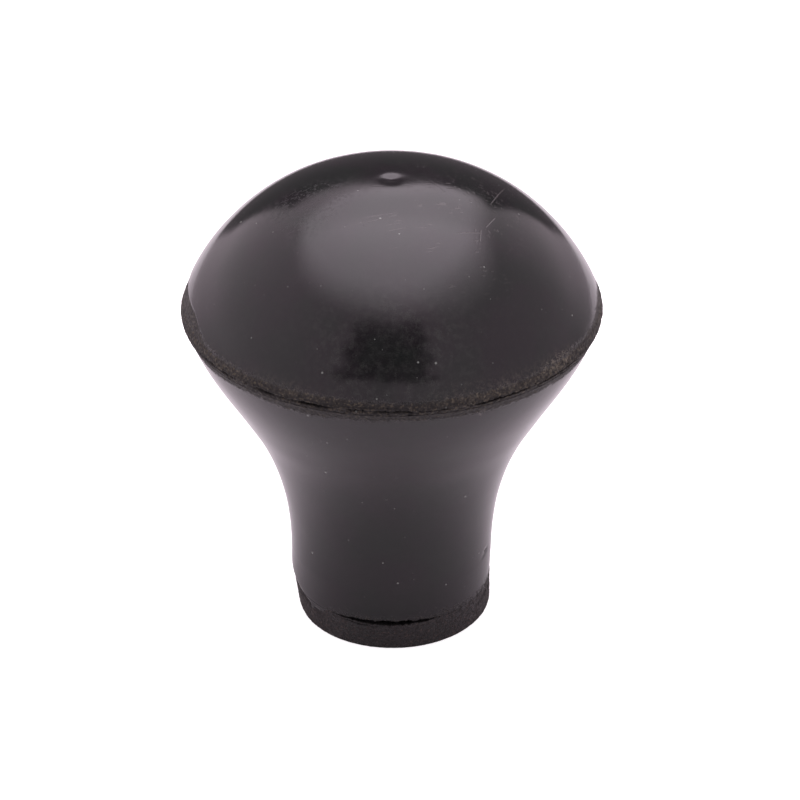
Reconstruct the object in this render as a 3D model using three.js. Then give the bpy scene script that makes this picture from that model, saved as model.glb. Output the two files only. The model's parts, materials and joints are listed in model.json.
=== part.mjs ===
// Hand-squeezed rubber dust blower bulb, standing on its mouth end.
// A domed half and a flared half meet at a ground rim seam. A rubber disc closes the foot of
// the neck and carries a short brass mouth that the air leaves through.
// Millimetres, +Z up, origin at the centre of the foot's underside, every piece round about Z.

import * as THREE from 'three';

// Driving dimensions
const HEIGHT = 58.05;
const RIM_RADIUS = 25;
const RIM_Z = 41.6;
const NECK_RADIUS = 12.47;
const FOOT_RADIUS = 12.2;
const WALL = 2.8;
const MOUTH_BORE_RADIUS = 3.1;
const GAP = 0.3;

// Neck and flare
const NECK_STRAIGHT_TOP_Z = 8.4;
const FLARE_TOP_RADIUS = 24.3;
const FLARE_TOP_Z = 40.1;
const FLARE_TOP_SLOPE = THREE.MathUtils.degToRad(20.4);
const FLARE_HANDLE_LOW = 16.7;
const FLARE_HANDLE_HIGH = 10.4;

// Crown dimple left by the mould
const DIMPLE_RADIUS = 1.3;
const DIMPLE_DEPTH = 0.6;

// Rim seam: a strip let into a groove that is shared by the two halves
const SEAM_TOP_Z = 42.9;
const SEAM_BOTTOM_Z = FLARE_TOP_Z + GAP;
const SEAM_INNER_RADIUS = RIM_RADIUS - 1.3;
const LAND_RADIUS = SEAM_INNER_RADIUS - GAP;

// Foot disc and its spigot, which plugs the neck
const FOOT_BAND_HEIGHT = 3.6;
const FOOT_CHAMFER = 0.5;
const SPIGOT_TOP_Z = 7.5;

// Brass mouth: a tube with a collar that sits on top of the spigot
const MOUTH_WALL = 0.6;
const MOUTH_RECESS = 0.3;
const MOUTH_TOP_Z = 9.6;
const COLLAR_RADIUS = 5.2;
const COLLAR_THICKNESS = 0.9;

const ROUND_SEGMENTS = 64;
const MOUTH_SEGMENTS = 32;

const point = (radius, z) => new THREE.Vector2(radius, z);

// Point on a Bezier curve of any degree, by repeated halving of its control polygon at t.
function bezierPoint(controls, t) {
  let level = controls;
  while (level.length > 1) {
    level = level.slice(1).map((next, i) => level[i].clone().lerp(next, t));
  }
  return level[0];
}

// Points at distance `inset` inside a curve that is drawn from the top of the bulb downwards.
function curvePoints(controls, steps, inset = 0) {
  const small = 1e-4;
  const points = [];
  for (let i = 0; i <= steps; i += 1) {
    const t = i / steps;
    const before = bezierPoint(controls, Math.max(0, t - small));
    const after = bezierPoint(controls, Math.min(1, t + small));
    const along = after.sub(before).normalize();
    const outward = point(-along.y, along.x);
    points.push(bezierPoint(controls, t).addScaledVector(outward, -inset));
  }
  return points;
}

// Outer outline of the dome, from the crown down to the rim.
const domeOutline = [
  point(0, HEIGHT),
  point(6.65, HEIGHT),
  point(18.6, HEIGHT + 0.2),
  point(RIM_RADIUS, RIM_Z + 1.75),
  point(RIM_RADIUS, RIM_Z),
];

// Outer outline of the flare, from under the rim down to the straight neck.
const flareOutline = [
  point(FLARE_TOP_RADIUS, FLARE_TOP_Z),
  point(
    FLARE_TOP_RADIUS - FLARE_HANDLE_HIGH * Math.sin(FLARE_TOP_SLOPE),
    FLARE_TOP_Z - FLARE_HANDLE_HIGH * Math.cos(FLARE_TOP_SLOPE),
  ),
  point(NECK_RADIUS + 0.2, NECK_STRAIGHT_TOP_Z + FLARE_HANDLE_LOW),
  point(NECK_RADIUS, NECK_STRAIGHT_TOP_Z),
];

function material(colour, roughness, metalness) {
  return new THREE.MeshStandardMaterial({ color: colour, roughness, metalness });
}

const blackRubber = () => material(0x1c1b1d, 0.35, 0);
const groundRubber = () => material(0x2b2725, 0.9, 0);
const brass = () => material(0xb5934f, 0.35, 1);

// Turns a profile about Z. The profile runs anticlockwise in the radius-height plane.
function turned(name, profile, finish, segments = ROUND_SEGMENTS) {
  const geometry = new THREE.LatheGeometry(profile, segments);
  geometry.rotateX(Math.PI / 2);
  const mesh = new THREE.Mesh(geometry, finish);
  mesh.name = name;
  return mesh;
}

const closed = (profile) => [...profile, profile[0].clone()];

function dimple(steps) {
  const points = [];
  for (let i = 0; i < steps; i += 1) {
    const t = i / steps;
    points.push(point(DIMPLE_RADIUS * t, HEIGHT - DIMPLE_DEPTH * (1 - t * t)));
  }
  return points;
}

function domeShell() {
  const jointZ = RIM_Z + GAP / 2;
  const outer = curvePoints(domeOutline, 17).filter((p) => p.x > DIMPLE_RADIUS && p.y > SEAM_TOP_Z + GAP);
  const inner = curvePoints(domeOutline, 11, WALL).filter((p) => p.x > 0 && p.y > jointZ + GAP);
  const shoulderRadius = outer.at(-1).x;
  const profile = [
    ...dimple(3),
    ...outer,
    point(shoulderRadius, SEAM_TOP_Z + GAP),
    point(LAND_RADIUS, SEAM_TOP_Z + GAP),
    point(LAND_RADIUS, jointZ),
    point(RIM_RADIUS - WALL, jointZ),
    ...inner.reverse(),
    point(0, HEIGHT - WALL),
  ];
  return turned('dome_shell', profile.reverse(), blackRubber());
}

function neckShell() {
  const jointZ = RIM_Z - GAP / 2;
  const footZ = FOOT_BAND_HEIGHT + GAP;
  const outer = curvePoints(flareOutline, 12);
  const inner = curvePoints(flareOutline, 9, WALL);
  const profile = [
    point(LAND_RADIUS, jointZ),
    point(LAND_RADIUS, FLARE_TOP_Z),
    ...outer,
    point(FOOT_RADIUS, footZ),
    point(NECK_RADIUS - WALL, footZ),
    ...inner.reverse(),
    point(RIM_RADIUS - WALL, jointZ),
  ];
  return turned('neck_shell', closed(profile).reverse(), blackRubber());
}

function rimSeam() {
  const lowRadius = FLARE_TOP_RADIUS + 0.1;
  const highRadius = RIM_RADIUS - 0.35;
  const bulge = [
    point(highRadius, SEAM_TOP_Z),
    point(2 * RIM_RADIUS - (highRadius + lowRadius) / 2, RIM_Z),
    point(lowRadius, SEAM_BOTTOM_Z),
  ];
  const profile = [
    point(SEAM_INNER_RADIUS, SEAM_TOP_Z),
    ...curvePoints(bulge, 6),
    point(SEAM_INNER_RADIUS, SEAM_BOTTOM_Z),
  ];
  return turned('rim_seam', closed(profile).reverse(), groundRubber());
}

function footDisc() {
  const holeRadius = MOUTH_BORE_RADIUS + MOUTH_WALL + GAP;
  const spigotRadius = NECK_RADIUS - WALL - GAP;
  const profile = [
    point(holeRadius, SPIGOT_TOP_Z),
    point(spigotRadius - FOOT_CHAMFER, SPIGOT_TOP_Z),
    point(spigotRadius, SPIGOT_TOP_Z - FOOT_CHAMFER),
    point(spigotRadius, FOOT_BAND_HEIGHT),
    point(FOOT_RADIUS, FOOT_BAND_HEIGHT),
    point(FOOT_RADIUS, FOOT_CHAMFER),
    point(FOOT_RADIUS - FOOT_CHAMFER, 0),
    point(holeRadius, 0),
  ];
  return turned('foot_disc', closed(profile).reverse(), groundRubber());
}

function mouthFerrule() {
  const tubeRadius = MOUTH_BORE_RADIUS + MOUTH_WALL;
  const collarZ = SPIGOT_TOP_Z + GAP;
  const profile = [
    point(MOUTH_BORE_RADIUS, MOUTH_TOP_Z),
    point(tubeRadius, MOUTH_TOP_Z),
    point(tubeRadius, collarZ + COLLAR_THICKNESS),
    point(COLLAR_RADIUS, collarZ + COLLAR_THICKNESS),
    point(COLLAR_RADIUS, collarZ),
    point(tubeRadius, collarZ),
    point(tubeRadius, MOUTH_RECESS),
    point(MOUTH_BORE_RADIUS, MOUTH_RECESS),
  ];
  return turned('mouth_ferrule', closed(profile).reverse(), brass(), MOUTH_SEGMENTS);
}

const group = new THREE.Group();
group.add(domeShell(), rimSeam(), neckShell(), footDisc(), mouthFerrule());

export default group;
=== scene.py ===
"""Rubber dust blower bulb, standing on its mouth end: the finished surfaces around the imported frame.

Outlines are worked out in millimetres and turned about Z; every mesh is made in metres.
The side that faces the camera is at the angle FRONT, and the bulb's left side is at LEFT.
"""

import bpy
import json
import math
import numpy as np
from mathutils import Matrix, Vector, noise

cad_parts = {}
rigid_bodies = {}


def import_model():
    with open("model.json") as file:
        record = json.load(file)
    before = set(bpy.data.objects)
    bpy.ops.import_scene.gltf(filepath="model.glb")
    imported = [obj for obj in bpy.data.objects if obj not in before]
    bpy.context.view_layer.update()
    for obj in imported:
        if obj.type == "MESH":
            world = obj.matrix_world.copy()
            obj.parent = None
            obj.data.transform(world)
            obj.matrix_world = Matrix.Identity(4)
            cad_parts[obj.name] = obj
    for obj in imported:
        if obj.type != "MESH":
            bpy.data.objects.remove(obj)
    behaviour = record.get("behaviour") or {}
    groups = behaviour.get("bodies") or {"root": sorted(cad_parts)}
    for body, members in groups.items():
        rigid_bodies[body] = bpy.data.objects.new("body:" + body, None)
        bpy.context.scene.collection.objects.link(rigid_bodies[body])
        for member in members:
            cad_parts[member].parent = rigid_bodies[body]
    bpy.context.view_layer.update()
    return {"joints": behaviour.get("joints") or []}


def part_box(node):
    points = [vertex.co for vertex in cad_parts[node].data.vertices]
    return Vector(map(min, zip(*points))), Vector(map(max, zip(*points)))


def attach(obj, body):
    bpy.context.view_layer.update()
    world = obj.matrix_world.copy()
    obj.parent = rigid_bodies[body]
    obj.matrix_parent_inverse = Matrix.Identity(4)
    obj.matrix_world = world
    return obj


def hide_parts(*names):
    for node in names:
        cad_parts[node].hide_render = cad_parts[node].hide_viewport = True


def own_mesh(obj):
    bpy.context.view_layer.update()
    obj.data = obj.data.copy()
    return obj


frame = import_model()

MM = 0.001
FRONT = -math.pi / 2
RIGHT = 0.0
LEFT = math.pi

# Sizes read from the frame, in millimetres
PRESS = frame["joints"][0]
RIM_Z = PRESS["deforming_nodes"][0]["fixed_end_z_m"] / MM
RIM_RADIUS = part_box("rim_seam")[1].x / MM
CROWN_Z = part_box("dome_shell")[1].z / MM
FOOT_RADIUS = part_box("foot_disc")[1].x / MM
SPIGOT_TOP_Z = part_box("foot_disc")[1].z / MM
NECK_FOOT_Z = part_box("neck_shell")[0].z / MM
FERRULE_TOP_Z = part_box("mouth_ferrule")[1].z / MM
FERRULE_FOOT_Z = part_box("mouth_ferrule")[0].z / MM
COLLAR_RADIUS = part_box("mouth_ferrule")[1].x / MM
FLARE_TOP_Z = RIM_Z - 1.5
FLARE_TOP_RADIUS = RIM_RADIUS - 0.7

# The rest of the bulb's own sizes, in millimetres
NECK_RADIUS = 12.47
NECK_STRAIGHT_TOP_Z = 8.4
FLARE_TOP_SLOPE = math.radians(20.4)
FLARE_HANDLE_LOW = 16.7
FLARE_HANDLE_HIGH = 10.4
WALL = 2.8
BORE_RADIUS = 3.1
TUBE_RADIUS = 3.7
DIMPLE_RADIUS = 1.7
DIMPLE_DEPTH = 0.12

# Each half stops this far from the parting plane, and tucks in to this radius behind the seam strip
HALF_CLEARANCE = 0.2
TUCK_RADIUS = RIM_RADIUS - 1.4

# The neck and the foot disc each run this far past their joint
FOOT_OVERLAP = 0.04

# How strongly a mesh's rows crowd towards a torn edge: 1 would space them evenly
ROW_CROWDING = 1.35

# Where single marks lie: angles round the bulb, heights and places on the object in millimetres
FACET_TURN = LEFT - 0.1
NICK_TURN = math.radians(-22.5)
NICK_Z = 9.2
DUST_TURN = math.radians(-40)
FOOT_TEAR_TURN = FRONT - 0.35
CRESCENT_MIDDLE = (10.3, -21.9, 39.8)
CRESCENT_OPENING = (9.6, -22.3, 39.9)
BLOOM_MIDDLE = (0, -22, 47)
SCUFF_MIDDLE = (-9.5, -4, 56.5)
FINE_SCRATCH_MIDDLE = (11, -3, 56)
COARSE_SCRATCH_MIDDLE = (6, -6, 56)

# Both ends of the longer scratches on the right of the crown, in millimetres
CROWN_SCRATCHES = [
    ((11.2, -3.3, 56.1), (13.3, 3.4, 55.2)),
    ((10.6, -7.6, 55.5), (11.9, -5.0, 55.6)),
    ((7.2, -9.7, 56.0), (10.3, -8.5, 55.4)),
    ((10.0, -10.0, 55.0), (10.1, -8.0, 55.5)),
]

# Colours of the rubber's moulded skin and of what lies on it or is cut into it, and the painted shade of
# its cracks and hollows
GREENISH_BLACK = (0.0030, 0.0052, 0.0042)
PURPLISH_BLACK = (0.0052, 0.0040, 0.0054)
BLOOM_COLOUR = (0.021, 0.024, 0.021)
POWDER_COLOUR = (0.21, 0.19, 0.145)
MOTE_COLOUR = (0.26, 0.29, 0.26)
SCRATCH_COLOUR = (0.085, 0.08, 0.075)
# Painted shade: the near-black that cracks, pits, grooves, the crevice and the rim band's underside are
# darkened to
PAINTED_SHADE_COLOUR = (0.0012, 0.0010, 0.0009)


# ---------------------------------------------------------------- outlines

def bezier(controls, t):
    """Points on a Bezier curve of any degree."""
    level = [np.outer(np.ones_like(t), point) for point in controls]
    while len(level) > 1:
        level = [a * (1 - t)[:, None] + b * t[:, None] for a, b in zip(level, level[1:])]
    return level[0]


def inset(curve, distance):
    """The curve moved inwards, for one that runs from the crown down to the foot."""
    along = np.gradient(curve, axis=0)
    along /= np.linalg.norm(along, axis=1)[:, None]
    outward = np.stack([-along[:, 1], along[:, 0]], axis=1)
    return curve - distance * outward


def resample(curve, spacing):
    """The curve with its points as far apart as spacing(height) says, in millimetres."""
    lengths = np.linalg.norm(np.diff(curve, axis=0), axis=1)
    travelled = np.concatenate([[0.0], np.cumsum(lengths)])
    steps = [0.0]
    while steps[-1] < travelled[-1]:
        z = np.interp(steps[-1], travelled, curve[:, 1])
        steps.append(steps[-1] + spacing(z))
    steps = np.array(steps) * travelled[-1] / steps[-1]
    radius = np.interp(steps, travelled, curve[:, 0])
    height = np.interp(steps, travelled, curve[:, 1])
    return np.stack([radius, height], axis=1)


# Places along a curve, close enough together to be read as one smooth line
FINE = np.linspace(0, 1, 1500)

DOME_CURVE = bezier(
    [
        (0, CROWN_Z),
        (6.65, CROWN_Z),
        (18.6, CROWN_Z + 0.2),
        (RIM_RADIUS, RIM_Z + 1.75),
        (RIM_RADIUS, RIM_Z),
    ],
    FINE,
)

FLARE_CURVE = bezier(
    [
        (FLARE_TOP_RADIUS, FLARE_TOP_Z),
        (
            FLARE_TOP_RADIUS - FLARE_HANDLE_HIGH * math.sin(FLARE_TOP_SLOPE),
            FLARE_TOP_Z - FLARE_HANDLE_HIGH * math.cos(FLARE_TOP_SLOPE),
        ),
        (NECK_RADIUS + 0.2, NECK_STRAIGHT_TOP_Z + FLARE_HANDLE_LOW),
        (NECK_RADIUS, NECK_STRAIGHT_TOP_Z),
    ],
    FINE,
)

UNDER_RIM_CURVE = bezier(
    [
        (RIM_RADIUS, RIM_Z),
        (RIM_RADIUS - 0.04, RIM_Z - 0.45),
        (FLARE_TOP_RADIUS + 0.6 * math.tan(FLARE_TOP_SLOPE), FLARE_TOP_Z + 0.6),
        (FLARE_TOP_RADIUS, FLARE_TOP_Z),
    ],
    FINE,
)

OUTER_CURVE = np.vstack([DOME_CURVE, UNDER_RIM_CURVE[1:], FLARE_CURVE[1:], [(FOOT_RADIUS, 0.0)]])


def outer_radius(z):
    """Radius of the plain outline at a height, for any height up to a little below the crown."""
    return np.interp(z, OUTER_CURVE[::-1, 1], OUTER_CURVE[::-1, 0])


# ---------------------------------------------------------------- unevenness

def turn_from(theta, middle):
    """Angle from a place on the bulb's side, between -pi and pi."""
    return (theta - middle + math.pi) % (2 * math.pi) - math.pi


def hump(x, half_width):
    """A smooth bump: 1 in the middle, a half at the half width, near 0 at twice that."""
    return np.exp(-0.7 * (x / half_width) ** 2)


def step(x, low, high):
    """0 below low and 1 above high, with a smooth rise between."""
    t = np.clip((x - low) / (high - low), 0, 1)
    return t * t * (3 - 2 * t)


def rough(points, size, octaves=3, seed=0.0):
    """Noise between about -1 and 1 whose largest lumps are `size` millimetres wide."""
    smoothness = 0.9
    octave_ratio = 2.1
    shift = Vector((seed * 17.3, seed * 5.1, seed * 9.7))
    scaled = np.asarray(points).reshape(-1, 3) / size
    values = [noise.fractal(Vector(p) + shift, smoothness, octave_ratio, octaves) for p in scaled]
    return np.array(values).reshape(np.asarray(points).shape[:-1])


def round_noise(theta, waves, octaves=3, seed=0.0):
    """Noise round the bulb that meets itself; `waves` is about how many lumps there are."""
    ring = waves / (2 * math.pi)
    points = np.stack([np.cos(theta) * ring, np.sin(theta) * ring, np.full_like(theta, seed)], axis=-1)
    return rough(points, 1.0, octaves, seed)


def on_left_facet(theta):
    """1 on the left of the rim, where it was ground back hardest, and 0 elsewhere."""
    return 1 - step(np.abs(turn_from(theta, FACET_TURN)), 0.4, 0.72)


def band_top(theta):
    """Height of the upper edge of the ground band round the rim."""
    left = 1.75 * on_left_facet(theta)
    right = 0.9 * hump(turn_from(theta, RIGHT - 0.1), 0.35)
    ragged = 0.35 * round_noise(theta, 16, 2, 3.0) * (1 - 0.85 * on_left_facet(theta))
    return RIM_Z + 1.15 + left + right + ragged


def band_bottom(theta):
    """Height of the lower edge of the ground band round the rim."""
    return RIM_Z - 1.75 + 0.25 * round_noise(theta, 20, 2, 5.0)


def rim_ground(theta, z):
    """How far the surface is ground near the rim, from 0 to 1: crisply edged on the left facet."""
    fade = 1.7 - 1.55 * on_left_facet(theta)
    above = 1 - step(z, band_top(theta) - fade / 2, band_top(theta) + fade / 2)
    below = step(z, band_bottom(theta) - 0.6, band_bottom(theta) + 0.8)
    return above * below


def rim_shave(theta, z):
    """How much the grinding took off the rim's left facet."""
    above = 1 - step(z, band_top(theta) - 0.3, band_top(theta))
    return 0.16 * on_left_facet(theta) * above * step(z, RIM_Z - 0.6, RIM_Z + 0.8)


def foot_step(theta):
    """Height of the step that the grinding left on the foot's left: it drops towards the front."""
    return np.clip(4.95 - 3.25 * turn_from(theta, LEFT), 2.9, 5.1)


def near_foot_step(theta):
    """1 along the step on the foot's left, 0 elsewhere."""
    return 1 - step(np.abs(turn_from(theta, LEFT + 0.25)), 0.45, 0.75)


def foot_top(theta):
    """Height at which the ground part of the foot starts."""
    left = near_foot_step(theta)
    right = -0.4 * hump(turn_from(theta, RIGHT - 0.1), 0.4)
    plain = NECK_FOOT_Z + 0.9 + right + 0.3 * round_noise(theta, 14, 2, 8.0)
    return plain * (1 - left) + foot_step(theta) * left


def foot_ground(theta, z):
    """How far the surface is ground near the foot, from 0 to 1."""
    left = near_foot_step(theta)
    right = hump(turn_from(theta, RIGHT), 0.4)
    fade = 2.4 - 1.8 * left
    depth = 0.55 + 0.35 * np.maximum(left, right)
    return depth * (1 - step(z, foot_top(theta) - fade / 2, foot_top(theta) + fade / 2))


def ground(theta, z):
    """How far the surface is ground, from 0 to 1."""
    return np.maximum(rim_ground(theta, z), foot_ground(theta, z))


def foot_shave(theta, z):
    """How much was ground off the foot: most on the left, where a small step was left.

    The foot also leans a little to the right, so there it stands out instead.
    """
    left = hump(turn_from(theta, LEFT + 0.12), 0.42)
    edge = foot_step(theta)
    full = 0.14 * step(z, NECK_STRAIGHT_TOP_Z, edge)
    depth = 0.24 * (1 - step(z, edge - 0.25, edge)) + 0.2 * (1 - step(z, edge - 5.0, edge)) - full
    lean = 0.2 * np.cos(theta) * (1 - step(z, -1.0, 5.0))
    return left * depth - lean


def nick(theta, z):
    """A short nick across the right of the neck, 1 along its middle."""
    across = turn_from(theta, NICK_TURN) * NECK_RADIUS
    slope = 0.15
    return hump(z - NICK_Z - slope * across, 0.17) * hump(across, 0.65)


def foot_grooves(theta, z):
    """Grooves at the edges of the ground places on the foot's left and right, from 0 to 1; their dark
    colour is painted shade.
    """
    broken = np.clip(0.6 + 1.2 * round_noise(theta, 60, 3, 31.0), 0, 1)
    left = hump(turn_from(theta, LEFT + 0.4), 0.3) * hump(z - foot_step(theta), 0.32)
    right_height = 3.0 + 0.9 * turn_from(theta, RIGHT)
    right = hump(turn_from(theta, RIGHT - 0.25), 0.2) * hump(z - right_height, 0.2)
    return np.clip(1.3 * broken * (left + right), 0, 1)


def finished_radius(theta, z, r):
    """The plain radius with the bulb's own unevenness, its ground places, its nick and the foot's grooves.
    """
    points = np.stack([r * np.cos(theta), r * np.sin(theta), z], axis=-1)
    lumps = 0.035 * rough(points, 9.0, 2, 1.0)
    torn = 0.045 * rough(points, 0.5, 3, 2.0) + 0.025 * rough(points, 0.2, 2, 4.0)
    cut = 0.25 * nick(theta, z) + 0.35 * foot_grooves(theta, z)
    taken = foot_shave(theta, z) + rim_shave(theta, z) + cut
    return r + lumps + ground(theta, z) * torn - taken


def dust(theta, z):
    """How thickly pale dust lies, from 0 to 1: in a patch on the right of the rim, thinly round it."""
    from_patch = turn_from(theta, DUST_TURN)
    patch_height = RIM_Z + 1.2 + 1.5 * from_patch
    patch = 1.2 * hump(from_patch, 0.075) * hump(z - patch_height, 0.6)
    uneven = np.clip(0.5 + round_noise(theta, 12, 3, 33.0), 0, 1)
    round_rim = 0.34 * hump(z - RIM_Z - 0.8, 1.1) * uneven
    return np.clip(patch + round_rim, 0, 1)


def painted_under_rim_shade(z):
    """Painted shade on the ground band where it faces down, under the parting line, from 0 to 1."""
    below = RIM_Z - z
    return 0.3 * step(below, 0.1, 0.5) * (1 - step(below, 0.9, 2.0))


def wear_and_shade_amounts(theta, z):
    """The wear, the dust and the painted shade that the materials read, at every point of a skin."""
    return {
        "ground": ground(theta, z),
        # Painted shade: the nick, the foot's grooves and the rim band's underside are darkened in colour
        "painted_shade": np.clip(nick(theta, z) + foot_grooves(theta, z) + painted_under_rim_shade(z), 0, 1),
        "dust": dust(theta, z),
    }


# ---------------------------------------------------------------- meshes

def turned_grid(rows, columns):
    """The angle, and the radius and height of every row, as grids of the same shape."""
    theta = np.linspace(0, 2 * math.pi, columns, endpoint=False)
    rows = np.asarray(rows, float)
    shape = (len(rows), columns)
    return (
        np.broadcast_to(theta, shape).copy(),
        np.broadcast_to(rows[:, :1], shape).copy(),
        np.broadcast_to(rows[:, 1:], shape).copy(),
    )


def turned_piece(name, theta, r, z, poles=(), amounts=None):
    """A closed mesh from rows of rings. The rings join up in a loop, or end at the poles' heights.

    `amounts` holds the wear, the dust and the painted shade by name; a grid with fewer rows than the mesh
    covers its first rows.
    """
    rows, columns = r.shape
    points = np.stack([r * np.cos(theta), r * np.sin(theta), z], axis=-1).reshape(-1, 3)
    index = np.arange(rows * columns).reshape(rows, columns)
    after = np.roll(index, -1, axis=1)
    last = rows if not poles else rows - 1
    faces = []
    for i in range(last):
        below = (i + 1) % rows
        ring = np.stack([index[i], index[below], after[below], after[i]], axis=1)
        faces.extend(ring.tolist())
    for pole_z, row in zip(poles, (0, rows - 1)):
        pole = len(points)
        points = np.vstack([points, [(0, 0, pole_z)]])
        edge = (after[row], index[row]) if row == 0 else (index[row], after[row])
        faces.extend([[pole, b, a] for a, b in zip(edge[0].tolist(), edge[1].tolist())])
    mesh = bpy.data.meshes.new(name)
    mesh.from_pydata((points * MM).tolist(), [], faces)
    mesh.validate()
    wrap_map(mesh, rows, columns)
    for label, grid in (amounts or {}).items():
        values = np.zeros(len(points), np.float32)
        values[: grid.size] = grid.reshape(-1)
        mesh.attributes.new(label, "FLOAT", "POINT").data.foreach_set("value", values)
    mesh.polygons.foreach_set("use_smooth", [True] * len(mesh.polygons))
    mesh.update()
    piece = bpy.data.objects.new(name, mesh)
    bpy.context.scene.collection.objects.link(piece)
    face_outwards(piece)
    return piece


def wrap_map(mesh, rows, columns):
    """Lays the rings out flat: across by angle, down by row."""
    layer = mesh.uv_layers.new(name="OFBake")
    corner_vertex = np.zeros(len(mesh.loops), int)
    mesh.loops.foreach_get("vertex_index", corner_vertex)
    row, column = np.divmod(corner_vertex, columns)
    uv = np.stack([column / columns, row / rows], axis=1).astype(float)
    start = 0
    for polygon in mesh.polygons:
        corners = slice(start, start + polygon.loop_total)
        across = uv[corners, 0]
        if across.max() - across.min() > 0.5:
            across[across < 0.5] += 1.0
        down = uv[corners, 1]
        if down.max() - down.min() > 0.5 and down.max() < 1.0:
            down[down < 0.5] += 1.0
        start += polygon.loop_total
    uv[:, 0] /= uv[:, 0].max()
    uv[:, 1] /= uv[:, 1].max()
    layer.data.foreach_set("uv", uv.reshape(-1))


def face_outwards(piece):
    """Turns every face over if the closed mesh's volume comes out negative."""
    mesh = piece.data
    count = len(mesh.vertices)
    points = np.zeros(count * 3)
    mesh.vertices.foreach_get("co", points)
    points = points.reshape(-1, 3)
    mesh.calc_loop_triangles()
    corners = np.zeros(len(mesh.loop_triangles) * 3, int)
    mesh.loop_triangles.foreach_get("vertices", corners)
    a, b, c = (points[corners.reshape(-1, 3)[:, k]] for k in range(3))
    if np.einsum("ij,ij->i", a, np.cross(b, c)).sum() < 0:
        mesh.flip_normals()


def dome_spacing(z):
    """Millimetres from row to row on the dome: close in the dimple and near the rim."""
    if z > CROWN_Z - 0.3:
        return 0.16
    return 0.15 if z < RIM_Z + 4.2 else 0.6


def make_dome():
    """The domed half: outer skin from the crown to behind the seam strip, then the chamber's skin."""
    hem_z = RIM_Z + 0.75
    joint_z = RIM_Z + HALF_CLEARANCE
    outer = resample(DOME_CURVE, dome_spacing)
    outer = outer[(outer[:, 0] > 0.05) & (outer[:, 1] > hem_z)]
    tuck = [(outer[-1, 0] - 0.25, hem_z - 0.1), (TUCK_RADIUS, hem_z - 0.15), (TUCK_RADIUS, joint_z)]
    inner = inset(DOME_CURVE, WALL)[::-1]
    inner = resample(inner[inner[:, 0] > 0.4], lambda z: 1.4)
    inner = inner[inner[:, 1] > joint_z + 0.1]
    rows = np.vstack([outer, tuck, [(RIM_RADIUS - WALL, joint_z)], inner])
    theta, r, z = turned_grid(rows, 720)
    skin = slice(0, len(outer))
    r[skin] = finished_radius(theta[skin], z[skin], r[skin])
    amounts = wear_and_shade_amounts(theta[skin], z[skin])
    z[skin] -= DIMPLE_DEPTH * hump(outer[:, 0], DIMPLE_RADIUS / 2)[:, None]
    return turned_piece("rubber_dome", theta, r, z, (CROWN_Z - DIMPLE_DEPTH, CROWN_Z - WALL), amounts)


def parting_line(theta):
    """The torn line along the seam: its height, how far it gapes and its half width.

    It is widest on the left of the front, thin on the right and hardly there on the left facet.
    """
    wander = 0.15 * round_noise(theta, 24, 5, 13.0) + 0.07 * round_noise(theta, 150, 3, 18.0)
    height = RIM_Z - 0.05 + wander
    gape = np.clip(0.55 + 0.9 * round_noise(theta, 45, 4, 14.0), 0.05, 1.2)
    wide_part = step(turn_from(theta, FRONT), 0.3, -0.2)
    width = 0.07 + 0.06 * wide_part + 0.06 * round_noise(theta, 90, 3, 17.0)
    return height, gape * (1 - 0.9 * on_left_facet(theta)), np.clip(width, 0.05, 0.25)


def make_seam():
    """The ground strip over the joint of the two halves, with the torn parting line along it."""
    columns = 1440
    theta = np.linspace(0, 2 * math.pi, columns, endpoint=False)
    top = RIM_Z + 1.3 + 0.1 * round_noise(theta, 60, 4, 11.0)
    bottom = RIM_Z - 0.88 + 0.08 * round_noise(theta, 50, 4, 12.0)
    line, gape, width = parting_line(theta)
    upper_rows = 16
    lower_rows = 13
    upper = np.linspace(1, 0, upper_rows)[:, None] ** ROW_CROWDING
    lower = np.linspace(0, 1, lower_rows)[1:, None] ** ROW_CROWDING
    z = np.vstack([line + (top - line) * upper, line + (bottom - line) * lower])
    theta = np.broadcast_to(theta, z.shape).copy()
    crack = gape * hump(z - line, width)
    second_line_above = 0.42
    second_line = line + second_line_above + 0.1 * round_noise(theta[:1], 30, 3, 15.0)
    second_gape = np.clip(round_noise(theta[:1], 9, 3, 16.0) + 0.2, 0, 1)
    fine_crack = second_gape * hump(z - second_line, 0.07)
    points = np.stack([RIM_RADIUS * np.cos(theta), RIM_RADIUS * np.sin(theta), z], axis=-1)
    torn_out = step(rough(points, 0.4, 3, 19.0), 0.2, 0.5) * hump(z - line, 0.45)
    pits = torn_out * (1 - 0.8 * on_left_facet(theta))
    proud = 0.04
    edge_width = 0.3
    from_edge = np.minimum(top - z, z - bottom)
    sunk = 0.12 * (1 - step(from_edge, 0, edge_width))
    r = finished_radius(theta, z, outer_radius(z)) + proud - sunk
    groove = 0.08 * hump(z - line + 0.35, 0.35)
    r -= 0.45 * crack + 0.14 * fine_crack + 0.15 * pits + groove
    amounts = wear_and_shade_amounts(theta, z)
    # Painted shade: the parting line's crack, the fine crack and the torn-out pits are darkened in colour
    amounts["painted_shade"] = np.clip(amounts["painted_shade"] + 1.1 * crack + 0.8 * fine_crack + 0.7 * pits, 0, 1)
    back_radius = TUCK_RADIUS + 0.1
    r = np.vstack([r, np.full((2, columns), back_radius)])
    z = np.vstack([z, bottom + 0.1, top - 0.1])
    theta = np.vstack([theta, theta[:2]])
    return turned_piece("seam_strip", theta, r, z, amounts=amounts)


def neck_spacing(z):
    """Millimetres from row to row on the flare and neck: close at the rim and near the foot."""
    if z > RIM_Z - 2.3:
        return 0.14
    return 0.18 if z < NECK_STRAIGHT_TOP_Z + 0.8 else 0.45


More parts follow.
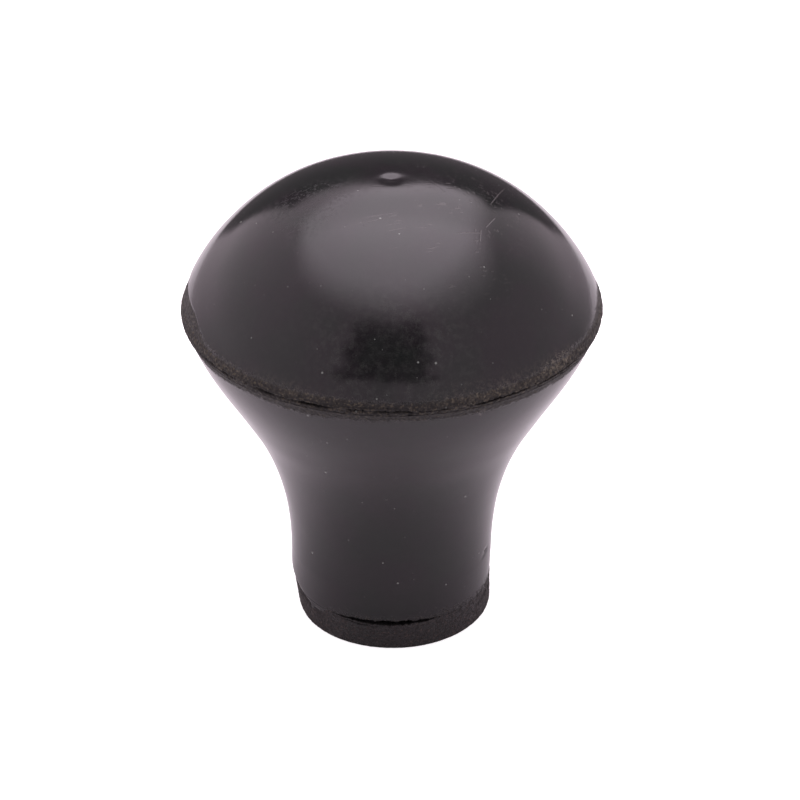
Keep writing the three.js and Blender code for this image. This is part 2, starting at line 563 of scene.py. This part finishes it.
def make_neck():
    """The flared half: outer skin from behind the seam strip to the foot, then the chamber's skin."""
    hem_z = RIM_Z - 0.6
    joint_z = RIM_Z - HALF_CLEARANCE
    curve = np.vstack([UNDER_RIM_CURVE, FLARE_CURVE[1:], [(FOOT_RADIUS + 0.1, NECK_FOOT_Z)]])
    outer = resample(curve, neck_spacing)
    outer = outer[outer[:, 1] < hem_z]
    inner = inset(FLARE_CURVE, WALL)[::-1]
    inner = resample(inner, lambda z: 1.6)
    tuck = [(TUCK_RADIUS, joint_z), (TUCK_RADIUS, hem_z - 0.05), (outer[0, 0] - 0.2, hem_z - 0.02)]
    rows = np.vstack([
        outer,
        [(NECK_RADIUS - WALL, NECK_FOOT_Z)],
        inner,
        [(RIM_RADIUS - WALL, joint_z)],
        tuck,
    ])
    theta, r, z = turned_grid(rows, 600)
    skin = slice(0, len(outer))
    ridge_z = 28.8
    hollow_z = 25.6
    ripple = 0.025 * hump(z[skin] - ridge_z, 1.5) - 0.02 * hump(z[skin] - hollow_z, 1.8)
    r[skin] = finished_radius(theta[skin], z[skin], r[skin]) + ripple
    lowest = len(outer) - 1
    opening = crevice(theta[lowest])
    z[lowest] = join_height(theta[lowest]) - FOOT_OVERLAP + 0.5 * opening
    z[lowest - 1] = z[lowest] + 0.16
    r[lowest] -= edge_depth(opening)
    amounts = wear_and_shade_amounts(theta[skin], z[skin])
    # Painted shade: the neck's edge at the crevice is darkened in colour
    amounts["painted_shade"][lowest] = crevice_edge_shade(opening)
    return turned_piece("rubber_neck", theta, r, z, amounts=amounts)


def edge_depth(opening):
    """How far the edges of neck and foot disc turn inwards where they meet: most at the crevice."""
    return 0.02 + 0.25 * opening


def crevice_edge_shade(opening):
    """Painted shade on the same edges, from 0 to 1."""
    return np.clip(2.5 * opening, 0, 1)


def crevice(theta):
    """Width in millimetres of the torn opening between neck and foot disc, in front only."""
    from_middle = turn_from(theta, FRONT - 0.05)
    reach = 1 - step(np.abs(from_middle), 0.25, 0.62)
    ragged = 0.9 + 0.5 * round_noise(theta, 50, 3, 21.0) + 0.5 * round_noise(theta, 190, 3, 22.0)
    widest = 0.25 * hump(turn_from(theta, FRONT + 0.05), 0.15)
    return reach * np.clip((0.55 + widest) * ragged, 0.2, 1.0)


def join_height(theta):
    """Height of the joint between the neck and the foot disc."""
    wander = 0.1 * round_noise(theta, 7, 3, 23.0) + 0.05 * round_noise(theta, 60, 3, 24.0)
    return NECK_FOOT_Z - 0.05 + wander


def make_foot():
    """The disc that closes the neck: its ground edge, its flat underside and its spigot."""
    columns = 1080
    theta = np.linspace(0, 2 * math.pi, columns, endpoint=False)
    opening = crevice(theta)
    top = join_height(theta) + FOOT_OVERLAP - 0.5 * opening
    chamfer = 0.2
    side_rows = 32
    z = chamfer + (top - chamfer) * (1 - np.linspace(0, 1, side_rows)[:, None] ** ROW_CROWDING)
    theta = np.broadcast_to(theta, z.shape).copy()
    r = finished_radius(theta, z, outer_radius(z))
    r[0] -= edge_depth(opening)
    lip_height = 2.95
    lip = hump(z - lip_height, 0.2) * hump(turn_from(theta, FOOT_TEAR_TURN), 0.22)
    tear_height = top - 0.3 + 0.08 * round_noise(theta[:1], 60, 3, 26.0)
    tear = hump(z - tear_height, 0.08) * hump(turn_from(theta, FOOT_TEAR_TURN), 0.2)
    r += 0.08 * lip - 0.2 * tear
    amounts = wear_and_shade_amounts(theta, z)
    # Painted shade: the tear and the foot's edge at the crevice are darkened in colour
    amounts["painted_shade"] = np.clip(amounts["painted_shade"] + 1.2 * tear, 0, 1)
    amounts["painted_shade"][0] = crevice_edge_shade(opening)
    wobble = 0.05 * round_noise(theta[:1], 30, 3, 25.0)
    ring = np.ones((1, columns))
    middle = 8.0
    hole = TUBE_RADIUS + 0.03
    spigot = NECK_RADIUS - WALL - 0.3
    spigot_chamfer = 0.4
    spigot_root_z = 3.0
    edge = [(r[-1:] - 0.04, 0.1), (r[-1:] - 0.14, 0.03), (r[-1:] - 0.4 + wobble, 0.0)]
    under = [(ring * middle, 0.0), (ring * (hole + 0.25), 0.0), (ring * hole, chamfer)]
    inside = [(ring * hole, SPIGOT_TOP_Z - chamfer), (ring * (hole + chamfer), SPIGOT_TOP_Z)]
    plug = [
        (ring * (spigot - spigot_chamfer), SPIGOT_TOP_Z),
        (ring * spigot, SPIGOT_TOP_Z - spigot_chamfer),
        (ring * spigot, spigot_root_z),
    ]
    extra = [*edge, *under, *inside, *plug]
    r = np.vstack([r, *[radius for radius, _ in extra]])
    z = np.vstack([z, *[ring * height for _, height in extra]])
    theta = np.vstack([theta, np.broadcast_to(theta[:1], (len(extra), columns))])
    below = len(edge) + len(under)
    amounts["ground"] = np.vstack([amounts["ground"], np.ones((below, columns))])
    return turned_piece("foot_disc_ground", theta, r, z, amounts=amounts)


def make_ferrule():
    """The short brass mouth, with small chamfers and its collar inside the bulb."""
    low = FERRULE_FOOT_Z
    high = FERRULE_TOP_Z
    collar = SPIGOT_TOP_Z + 0.3
    collar_top = collar + 0.9
    inner_chamfer = 0.12
    outer_chamfer = 0.15
    collar_chamfer = 0.1
    rows = [
        (BORE_RADIUS + inner_chamfer, low),
        (TUBE_RADIUS - outer_chamfer, low),
        (TUBE_RADIUS, low + outer_chamfer),
        (TUBE_RADIUS, collar),
        (COLLAR_RADIUS - collar_chamfer, collar),
        (COLLAR_RADIUS, collar + collar_chamfer),
        (COLLAR_RADIUS, collar_top - collar_chamfer),
        (COLLAR_RADIUS - collar_chamfer, collar_top),
        (TUBE_RADIUS, collar_top),
        (TUBE_RADIUS, high - outer_chamfer),
        (TUBE_RADIUS - outer_chamfer, high),
        (BORE_RADIUS + inner_chamfer, high),
        (BORE_RADIUS, high - inner_chamfer),
        (BORE_RADIUS, low + inner_chamfer),
    ]
    return turned_piece("brass_mouth", *turned_grid(rows, 128))


# ---------------------------------------------------------------- materials

class Nodes:
    """Short calls for building one node tree around the shader that is already in it."""

    def __init__(self, tree, shader, coordinate):
        self.tree = tree
        self.shader = tree.nodes[shader]
        self.place = self.add("ShaderNodeTexCoord").outputs[coordinate]

    def add(self, kind):
        return self.tree.nodes.new(kind)

    def link(self, source, socket):
        """Feeds a socket from another node's output, or gives it a fixed number or colour."""
        if isinstance(source, (int, float)):
            socket.default_value = source
        elif isinstance(source, tuple):
            socket.default_value = (*source, 1.0) if len(socket.default_value) == 4 else source
        else:
            self.tree.links.new(source, socket)

    def set(self, name, value):
        self.link(value, self.shader.inputs[name])

    def math(self, kind, *values):
        node = self.add("ShaderNodeMath")
        node.operation = kind
        for value, socket in zip(values, node.inputs):
            self.link(value, socket)
        return node.outputs[0]

    def remap(self, value, low, high, to_low=0.0, to_high=1.0):
        """A smooth step from to_low at `low` to to_high at `high`."""
        node = self.add("ShaderNodeMapRange")
        node.interpolation_type = "SMOOTHSTEP"
        names = ("Value", "From Min", "From Max", "To Min", "To Max")
        for source, name in zip((value, low, high, to_low, to_high), names):
            self.link(source, node.inputs[name])
        return node.outputs[0]

    def both(self, *values):
        """The product of several amounts."""
        product = values[0]
        for value in values[1:]:
            product = self.math("MULTIPLY", product, value)
        return product

    def hypot(self, a, b):
        """The length of a step of `a` one way and `b` across it."""
        squares = self.math("ADD", self.math("POWER", a, 2.0), self.math("POWER", b, 2.0))
        return self.math("SQRT", squares)

    def blend(self, factor, a, b):
        """A number between a and b."""
        return self.math("MULTIPLY_ADD", factor, self.math("SUBTRACT", b, a), a)

    def mix(self, factor, a, b):
        """A colour between a and b. The colour sockets of this node are its seventh and eighth."""
        node = self.add("ShaderNodeMix")
        node.data_type = "RGBA"
        self.link(factor, node.inputs[0])
        self.link(a, node.inputs[6])
        self.link(b, node.inputs[7])
        return node.outputs[2]

    def mapped(self, scale, turn=(0, 0, 0), place=None):
        node = self.add("ShaderNodeMapping")
        self.link(place or self.place, node.inputs["Vector"])
        node.inputs["Scale"].default_value = scale
        node.inputs["Rotation"].default_value = turn
        return node.outputs[0]

    def noise(self, size_mm, detail=3.0, roughness=0.55, stretch=(1, 1, 1), place=None):
        node = self.add("ShaderNodeTexNoise")
        scale = 1 / (size_mm * MM)
        self.link(self.mapped(tuple(scale * s for s in stretch), place=place), node.inputs["Vector"])
        node.inputs["Scale"].default_value = 1.0
        node.inputs["Detail"].default_value = detail
        node.inputs["Roughness"].default_value = roughness
        return node.outputs["Fac"]

    def specks(self, spacing_mm, radius_mm, share):
        """1 on small scattered dots, 0 elsewhere."""
        node = self.add("ShaderNodeTexVoronoi")
        scale = 1 / (spacing_mm * MM)
        self.link(self.mapped((scale, scale, scale)), node.inputs["Vector"])
        node.inputs["Scale"].default_value = 1.0
        split = self.add("ShaderNodeSeparateColor")
        self.link(node.outputs["Color"], split.inputs[0])
        size = self.math("MULTIPLY", split.outputs[1], radius_mm / spacing_mm)
        inside = self.remap(node.outputs["Distance"], size, self.math("MULTIPLY", size, 0.45))
        return self.both(inside, self.math("LESS_THAN", split.outputs[0], share))

    def apart(self, centre_mm):
        """Distance in metres from a place on the object."""
        return self.vector("DISTANCE", self.place, Vector(centre_mm) * MM)

    def near(self, centre_mm, reach_mm):
        """1 at a place on the object, falling to 0 at the reach."""
        return self.remap(self.apart(centre_mm), reach_mm * MM, 0.35 * reach_mm * MM)

    def scratches(self, turn, length_mm, width_mm):
        """Long thin straight marks: the peaks of stretched noise, in broken runs."""
        turned = self.mapped((1, 1, 1), turn)
        stretch = (width_mm / length_mm, 1, 1)
        field = self.noise(width_mm, 0.0, 0.5, stretch, turned)
        runs = self.remap(self.noise(length_mm * 0.3, 2.0), 0.45, 0.6)
        return self.both(self.remap(field, 0.66, 0.76), runs)

    def hairline(self, start, end, width_mm):
        """1 on a scratch between two places on the dome, faint towards its ends."""
        start = Vector(start) * MM
        along = Vector(end) * MM - start
        outward = start - Vector((0, 0, 0.6 * RIM_Z * MM))
        across = along.cross(outward).normalized()
        offset = self.vector("SUBTRACT", self.place, start)
        share = self.math("DIVIDE", self.vector("DOT_PRODUCT", offset, along), along.length_squared)
        aside = self.math("ABSOLUTE", self.vector("DOT_PRODUCT", offset, across))
        ends = self.remap(self.math("ABSOLUTE", self.math("SUBTRACT", share, 0.5)), 0.5, 0.3)
        return self.both(ends, self.remap(aside, 0.5 * width_mm * MM, 0.1 * width_mm * MM))

    def vector(self, kind, a, b=(0, 0, 0)):
        """The result of a vector sum, whether that is a vector or a number."""
        node = self.add("ShaderNodeVectorMath")
        node.operation = kind
        self.link(a, node.inputs[0])
        node.inputs[1].default_value = b
        return next(output for output in node.outputs if output.enabled)

    def attribute(self, name):
        node = self.add("ShaderNodeAttribute")
        node.attribute_name = name
        return node.outputs["Fac"]

    def bump(self, height, distance_mm, strength=1.0):
        node = self.add("ShaderNodeBump")
        node.inputs["Strength"].default_value = strength
        node.inputs["Distance"].default_value = distance_mm * MM
        self.link(height, node.inputs["Height"])
        self.set("Normal", node.outputs[0])


def surface(name):
    """A new material, with the calls that build it."""
    material = bpy.data.materials.new(name)
    material.use_nodes = True
    return material, Nodes(material.node_tree, "Principled BSDF", "Object")


def clean_colour(n):
    """Colour of the moulded skin: nearly black, with a pale bloom that is thickest in front."""
    patches = n.both(0.35, n.remap(n.noise(5.0, 2.0), 0.35, 0.6))
    bloom = n.math("ADD", n.near(BLOOM_MIDDLE, 13), patches)
    haze = n.both(n.remap(n.noise(0.8, 5.0, 0.8), 0.44, 0.66), bloom)
    black = n.mix(n.remap(n.noise(7.0, 3.0), 0.35, 0.65), GREENISH_BLACK, PURPLISH_BLACK)
    return n.mix(n.math("MULTIPLY", haze, 0.5), black, BLOOM_COLOUR)


def crescent_mark(n):
    """1 on the small crescent-shaped mark under the rim, 0 elsewhere."""
    from_middle = n.apart(CRESCENT_MIDDLE)
    return n.both(
        n.remap(from_middle, 0.32 * MM, 0.42 * MM),
        n.remap(from_middle, 0.7 * MM, 0.55 * MM),
        n.remap(n.apart(CRESCENT_OPENING), 1.0 * MM, 0.85 * MM),
    )


def scratch_marks(n):
    """How strongly the surface is scratched, from 0 to 1: on the crown, and on the crescent mark."""
    fine = n.both(n.scratches((0.05, 0.25, 0.95), 9.0, 0.3), n.near(FINE_SCRATCH_MIDDLE, 10))
    coarse = n.both(n.scratches((0.0, 0.2, -0.15), 12.0, 0.35), n.near(COARSE_SCRATCH_MIDDLE, 15))
    scratched = n.math("MULTIPLY", n.math("MAXIMUM", fine, coarse), 0.5)
    for start, end in CROWN_SCRATCHES:
        scratched = n.math("MAXIMUM", scratched, n.hairline(start, end, 0.17))
    return n.math("MAXIMUM", scratched, crescent_mark(n))


def motes_of_dust(n):
    """Single specks of dust: 1 on the larger ones, fainter on the smaller ones, 0 elsewhere."""
    smaller = n.math("MULTIPLY", n.specks(1.2, 0.14, 0.6), 0.35)
    return n.math("MAXIMUM", n.specks(2.0, 0.22, 0.5), smaller)


def rubber_material(name, torn_dark, torn_light, specular):
    """Satin black moulded rubber, torn and dull where `ground` says, and darkened with painted shade and
    dulled in its cracks, pits, grooves and hollows.
    """
    material, n = surface(name)
    grain = n.noise(0.3, 3.0, 0.6)
    fibre = n.noise(0.42, 4.0, 0.75)
    flecks = n.remap(n.noise(0.33, 3.0, 0.7), 0.5, 0.66)
    frayed = n.math("MULTIPLY_ADD", n.math("SUBTRACT", fibre, 0.5), 1.8, n.attribute("ground"))
    worn = n.remap(frayed, 0.3, 0.7)
    painted_shade = n.attribute("painted_shade")
    powder = n.both(n.attribute("dust"), n.remap(n.noise(0.45, 5.0, 0.8), 0.44, 0.64))
    scratched = scratch_marks(n)

    colour = n.mix(worn, clean_colour(n), n.mix(flecks, torn_dark, torn_light))
    colour = n.mix(n.math("MULTIPLY", powder, 0.6), colour, POWDER_COLOUR)
    colour = n.mix(n.math("MULTIPLY", motes_of_dust(n), 0.6), colour, MOTE_COLOUR)
    colour = n.mix(n.math("MULTIPLY", scratched, 0.6), colour, SCRATCH_COLOUR)
    # Painted shade: cracks, pits, grooves, the crevice and the rim band's underside are mixed towards
    # near-black
    n.set("Base Color", n.mix(painted_shade, colour, PAINTED_SHADE_COLOUR))

    scuffed = n.both(n.near(SCUFF_MIDDLE, 9), n.remap(n.noise(0.5, 4.0, 0.75), 0.47, 0.58))
    satin = n.remap(n.noise(2.2, 5.0, 0.6), 0.3, 0.7, 0.10, 0.14)
    satin = n.blend(scuffed, satin, 0.30)
    roughness = n.blend(worn, satin, n.remap(grain, 0.3, 0.7, 0.55, 0.8))
    dulled = n.math("MAXIMUM", n.math("MULTIPLY", painted_shade, 0.9), powder)
    n.set("Roughness", n.math("MAXIMUM", roughness, dulled))
    n.set("Specular IOR Level", specular)

    waver = n.math("MULTIPLY", n.noise(3.0, 2.0), 0.12)
    smooth_height = n.math("MULTIPLY_ADD", grain, 0.03, n.math("MULTIPLY_ADD", scratched, -0.15, waver))
    n.bump(n.blend(worn, smooth_height, fibre), 0.12, 0.7)
    return material


def black_rubber():
    return rubber_material("black_rubber_finish", (0.0050, 0.0046, 0.0036), (0.050, 0.044, 0.030), 0.5)


def foot_rubber():
    return rubber_material("foot_rubber_finish", (0.0065, 0.0050, 0.0046), (0.050, 0.037, 0.031), 0.5)


def seam_rubber():
    return rubber_material("seam_rubber_finish", (0.0048, 0.0042, 0.0030), (0.064, 0.054, 0.036), 0.4)


def brass():
    """Turned brass, dulled by handling."""
    material, n = surface("brass_finish")
    lines = n.noise(0.25, 3.0, 0.6, (0.05, 0.05, 1.0))
    stain = n.noise(1.5, 4.0)
    n.set("Base Color", n.mix(stain, (0.50, 0.34, 0.12), (0.32, 0.21, 0.08)))
    n.set("Metallic", 1.0)
    n.set("Roughness", n.remap(stain, 0.3, 0.7, 0.28, 0.48))
    n.bump(lines, 0.03, 0.6)
    return material


def pale_floor():
    """A matt floor that the camera sees brightly lit, so that it blends with the pale surroundings."""
    material, n = surface("pale_floor")
    n.set("Base Color", n.mix(n.noise(60.0, 2.0), (0.71, 0.71, 0.71), (0.75, 0.75, 0.75)))
    n.set("Roughness", 0.9)
    n.set("Specular IOR Level", 0.1)
    seen = n.add("ShaderNodeLightPath").outputs["Is Camera Ray"]
    n.set("Emission Strength", n.math("MULTIPLY", seen, 0.72))
    n.set("Emission Color", (1.0, 1.0, 1.0))
    return material


def dress(piece, material, slot, body, *nodes):
    """Gives a piece its material, ties it to its body and hides the CAD nodes it stands for."""
    piece.data.materials.append(material)
    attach(piece, body)
    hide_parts(*nodes)


# ---------------------------------------------------------------- stage

def make_floor():
    """A round table top, a quarter of a metre in radius."""
    radius = 0.25
    turns = np.linspace(0, 2 * math.pi, 96, endpoint=False)
    corners = [(radius * math.cos(turn), radius * math.sin(turn), 0) for turn in turns]
    mesh = bpy.data.meshes.new("floor")
    mesh.from_pydata(corners, [], [tuple(range(len(corners)))])
    floor = bpy.data.objects.new("floor", mesh)
    bpy.context.scene.collection.objects.link(floor)
    mesh.materials.append(pale_floor())


def softbox(n, x, y, z):
    """Where a direction meets the overhead softbox, from 0 to 1, and how bright it is there.

    Its outline lies on a level plane one unit above the bulb. It hangs mostly behind: round in
    front, straight at the sides and the back, with its far left corner cut off. Its edge is softer
    in front and on the right.
    """
    half_width = 0.71
    middle = 0.5
    front_reach = 0.86
    back_edge = 1.86
    cut_across = -0.831
    cut_back = 0.557
    cut_edge = 1.04
    height = n.math("MAXIMUM", z, 0.1)
    across = n.math("DIVIDE", x, height)
    back = n.math("DIVIDE", y, height)
    side_part = n.math("DIVIDE", n.math("SUBTRACT", across, 0.02), half_width)
    front_part = n.math("DIVIDE", n.math("MAXIMUM", n.math("SUBTRACT", middle, back), 0.0), front_reach)
    past_oval = n.math("MULTIPLY", n.math("SUBTRACT", n.hypot(side_part, front_part), 1.0), half_width)
    past_back = n.math("SUBTRACT", back, back_edge)
    past_cut = n.math("MULTIPLY_ADD", across, cut_across, n.math("MULTIPLY_ADD", back, cut_back, -cut_edge))
    past_edge = n.math("MAXIMUM", past_oval, n.math("MAXIMUM", past_back, past_cut))
    soft_side = n.remap(across, 0.2, 0.7)
    fade_out = n.math("MULTIPLY_ADD", soft_side, 0.14, n.remap(back, 0.8, -0.1, 0.06, 0.32))
    fade_in = n.math("MULTIPLY_ADD", soft_side, -0.2, n.remap(back, 0.8, -0.1, -0.06, -0.16))
    inside = n.both(n.remap(z, 0.1, 0.2), n.remap(past_edge, fade_out, fade_in))
    from_lamp = n.hypot(n.math("SUBTRACT", across, 0.1), n.math("SUBTRACT", back, 0.45))
    brightness = n.remap(from_lamp, 0.9, 0.1, 2.7, 3.7)
    return inside, n.both(brightness, n.remap(back, 0.5, 0.85, 1.0, 0.83))


def camera_side(n, turn, z):
    """Where a direction meets the dark figure and stand at the camera, from 0 to 1."""
    waver = n.math("MULTIPLY", n.math("SUBTRACT", n.noise(150.0, 3.0), 0.5), 0.35)
    beside = n.math("ABSOLUTE", n.math("ADD", n.math("ADD", turn, 0.04), waver))
    height = n.math("ADD", z, n.math("MULTIPLY", waver, 0.3))
    person = n.both(
        n.remap(beside, 0.50, 0.38),
        n.remap(height, 0.86, 0.76),
        n.remap(height, 0.40, 0.46),
    )
    stand = n.both(
        n.remap(beside, 0.58, 0.48),
        n.remap(height, 0.47, 0.44),
        n.remap(height, 0.39, 0.42),
    )
    return n.math("MAXIMUM", person, stand)


def tent_walls(n, x, y, z):
    """Brightness of the light tent's walls: brighter on the left, dark behind and at the camera."""
    turn = n.math("ARCTAN2", x, n.math("MULTIPLY", y, -1.0))
    left = n.remap(turn, 0.1, -2.5, 0.0, 0.55)
    right = n.both(n.math("GREATER_THAN", turn, 0.0), n.remap(turn, 1.9, 2.5, 0.12, 0.36))
    walls = n.math("ADD", n.math("ADD", 0.66, left), right)
    walls = n.both(walls, n.remap(z, 0.15, -0.15, 1.0, 0.65))
    from_front = n.math("ABSOLUTE", turn)
    narrowed = n.math("MULTIPLY_ADD", n.math("MINIMUM", z, 0.0), 0.6, from_front)
    behind = n.both(n.remap(narrowed, 2.59, 2.67), n.remap(z, 0.515, 0.44))
    walls = n.blend(behind, walls, 0.16)
    darkness = n.remap(n.noise(60.0, 3.0, 0.7), 0.35, 0.65, 0.10, 0.34)
    return n.blend(camera_side(n, turn, z), walls, darkness)


def make_world():
    """A light tent with a large softbox overhead. The camera itself sees it as plain white."""
    world = bpy.data.worlds.new("tent")
    bpy.context.scene.world = world
    world.use_nodes = True
    n = Nodes(world.node_tree, "Background", "Generated")
    split = n.add("ShaderNodeSeparateXYZ")
    n.link(n.place, split.inputs[0])
    inside, brightness = softbox(n, *split.outputs)
    strength = n.blend(inside, tent_walls(n, *split.outputs), brightness)
    colour = n.mix(inside, (1.0, 0.85, 0.94), (1.0, 0.88, 0.97))
    seen = n.add("ShaderNodeLightPath").outputs["Is Camera Ray"]
    n.set("Color", n.mix(seen, colour, (1.0, 1.0, 1.0)))
    n.set("Strength", n.blend(seen, strength, 1.0))


def make_camera():
    """About 31 degrees above the bulb, with a long lens."""
    elevation = math.radians(30.825)
    distance = 0.3162
    aim = Vector((0, 0, 0.0283))
    camera = bpy.data.cameras.new("camera")
    camera.sensor_width = 36.0
    camera.lens = 117.36
    camera.shift_x = 0.0106
    camera.clip_start = 0.01
    holder = bpy.data.objects.new("camera", camera)
    holder.location = aim + Vector((0, -math.cos(elevation), math.sin(elevation))) * distance
    holder.rotation_euler = (math.pi / 2 - elevation, 0, 0)
    bpy.context.scene.collection.objects.link(holder)
    bpy.context.scene.camera = holder


make_camera()
make_floor()
make_world()
bpy.context.scene.view_settings.view_transform = "Standard"

shell_rubber = black_rubber()
body = PRESS["parent"]

dome = make_dome()
dress(dome, shell_rubber, "black_rubber", body, "dome_shell")
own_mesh(dome)
dress(make_seam(), seam_rubber(), "ground_rubber", body, "rim_seam")
dress(make_neck(), shell_rubber, "black_rubber", body, "neck_shell")
dress(make_foot(), foot_rubber(), "ground_rubber", body, "foot_disc")
dress(make_ferrule(), brass(), "brass", body, "mouth_ferrule")
